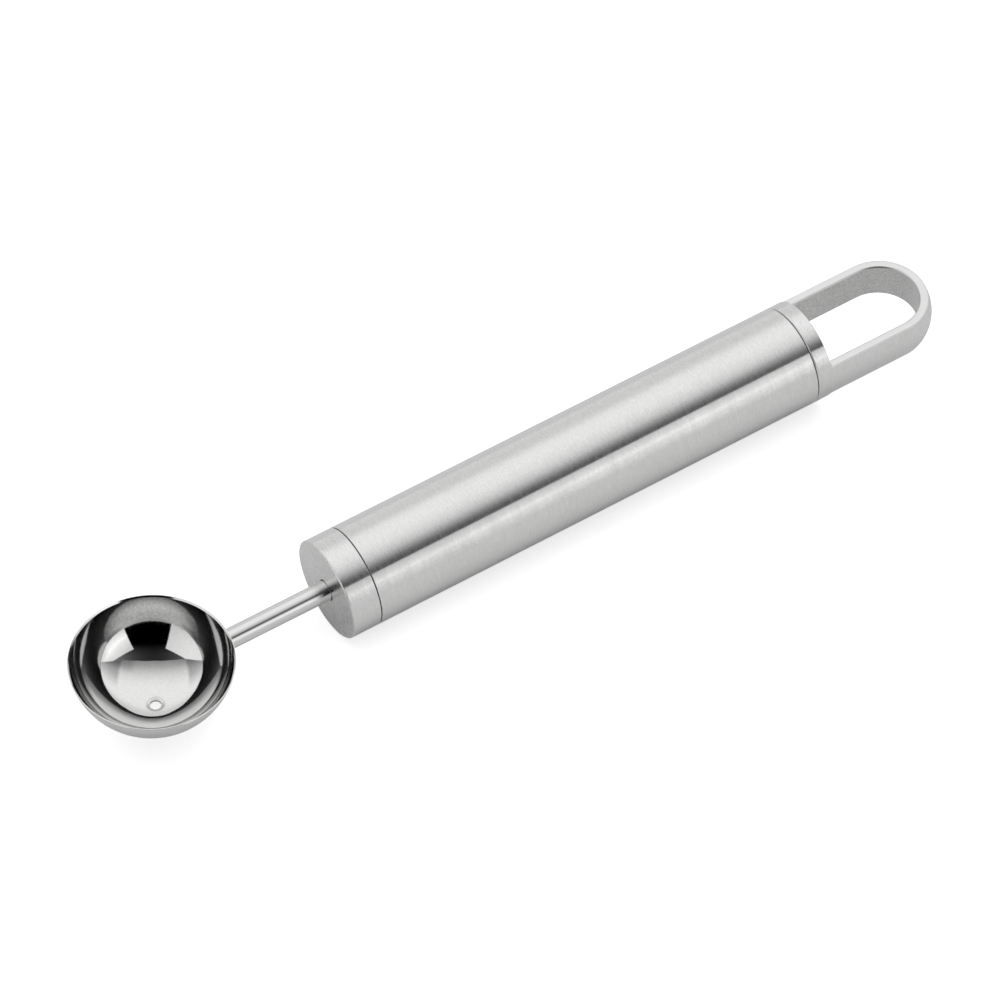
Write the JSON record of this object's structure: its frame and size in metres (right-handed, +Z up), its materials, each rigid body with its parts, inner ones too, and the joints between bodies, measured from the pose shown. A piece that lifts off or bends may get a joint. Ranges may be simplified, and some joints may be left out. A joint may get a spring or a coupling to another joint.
{
  "type": "melon baller",
  "caption": "Hand scoop that cuts balls from melon: a drained spherical cup on a round rod, a tubular steel handle and a slotted loop to hang it by.",
  "frame": {"origin": "middle of the tool's length, on its plane of symmetry, on the surface that the handle lies on", "axes": "+X along the handle from the scoop to the loop, +Y across it, +Z up out of the scoop's open side"},
  "size_m": [0.1862, 0.0308, 0.02],
  "materials": {
    "polished_scoop": "mirror polished stainless steel, satin on the outside",
    "stem_steel": "drawn stainless rod, lightly polished round the rod",
    "satin_handle": "satin stainless steel with a fine brushing round the handle",
    "satin_loop": "milled stainless steel, satin flats and brushed sides",
    "fastener_steel": "plain stainless fastener, unpolished"
  },
  "bodies": {
    "root": {"scoop_bowl": "polished_scoop", "stem": "stem_steel", "front_cap": "satin_handle", "stem_washer": "fastener_steel", "stem_nut": "fastener_steel", "handle_tube": "satin_handle", "hanging_loop": "satin_loop"}
  },
  "joints": []
}
